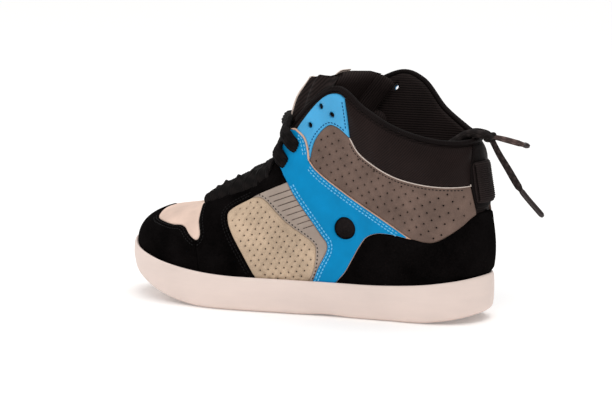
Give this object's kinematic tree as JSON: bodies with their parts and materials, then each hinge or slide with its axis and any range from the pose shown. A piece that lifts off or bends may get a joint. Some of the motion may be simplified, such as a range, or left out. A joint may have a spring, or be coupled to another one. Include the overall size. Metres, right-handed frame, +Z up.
{
  "type": "high top athletic shoe",
  "caption": "High-top lace-up athletic shoe for the left foot: cup sole, hollow upper with overlay panels, padded collar, tongue, lace and heel pull loop.",
  "frame": {"origin": "on the floor under the middle of the sole's length, on the sole's resting face", "axes": "+X to the toe, +Y to the outer side of the left foot, +Z up"},
  "size_m": [0.3355, 0.1091, 0.1782],
  "materials": {
    "rubber_sole": "smooth pale moulded rubber, lightly scuffed",
    "insole_cloth": "brushed cloth",
    "lining_fabric": "fine ribbed cloth lining",
    "tongue_fabric": "padded cloth",
    "tongue_trim": "pale bonded cloth",
    "toe_leather": "smooth pale leather",
    "black_suede": "suede nap",
    "beige_leather": "perforated leather",
    "grey_rib": "pressed ribs",
    "blue_leather": "smooth coated leather",
    "light_blue_leather": "smooth coated leather",
    "taupe_leather": "perforated leather",
    "collar_fabric": "padded satin cloth",
    "black_inlay": "matte disc",
    "black_webbing": "ribbed webbing",
    "lace_cord": "braided cord"
  },
  "bodies": {
    "root": {"cupsole": "rubber_sole", "insole": "insole_cloth", "upper": "lining_fabric", "tongue": "tongue_fabric", "tongue_face": "tongue_trim", "toe_panel": "toe_leather", "toe_mudguard": "black_suede", "lace_stay_lateral": "black_suede", "lace_stay_medial": "black_suede", "heel_counter": "black_suede", "vamp_panel_lateral": "beige_leather", "vamp_panel_medial": "beige_leather", "rib_panel_lateral": "grey_rib", "rib_panel_medial": "grey_rib", "side_wing_lateral": "blue_leather", "side_wing_medial": "blue_leather", "eyestay_tip_lateral": "light_blue_leather", "eyestay_tip_medial": "light_blue_leather", "quarter_panel_lateral": "taupe_leather", "quarter_panel_medial": "taupe_leather", "collar_lateral": "collar_fabric", "collar_medial": "collar_fabric", "round_inlay_lateral": "black_inlay", "round_inlay_medial": "black_inlay", "backstay": "black_webbing", "pull_loop": "black_webbing", "collar_binding": "black_webbing", "lace_bar_1": "lace_cord", "lace_bar_2": "lace_cord", "lace_bar_3": "lace_cord", "lace_bar_4": "lace_cord", "lace_bar_5": "lace_cord", "lace_bar_6": "lace_cord", "lace_bar_7": "lace_cord", "lace_bar_8": "lace_cord", "lace_run_lateral": "lace_cord", "lace_run_medial": "lace_cord", "lace_knot": "lace_cord", "lace_end_upper": "lace_cord", "lace_end_lower": "lace_cord"}
  },
  "joints": []
}
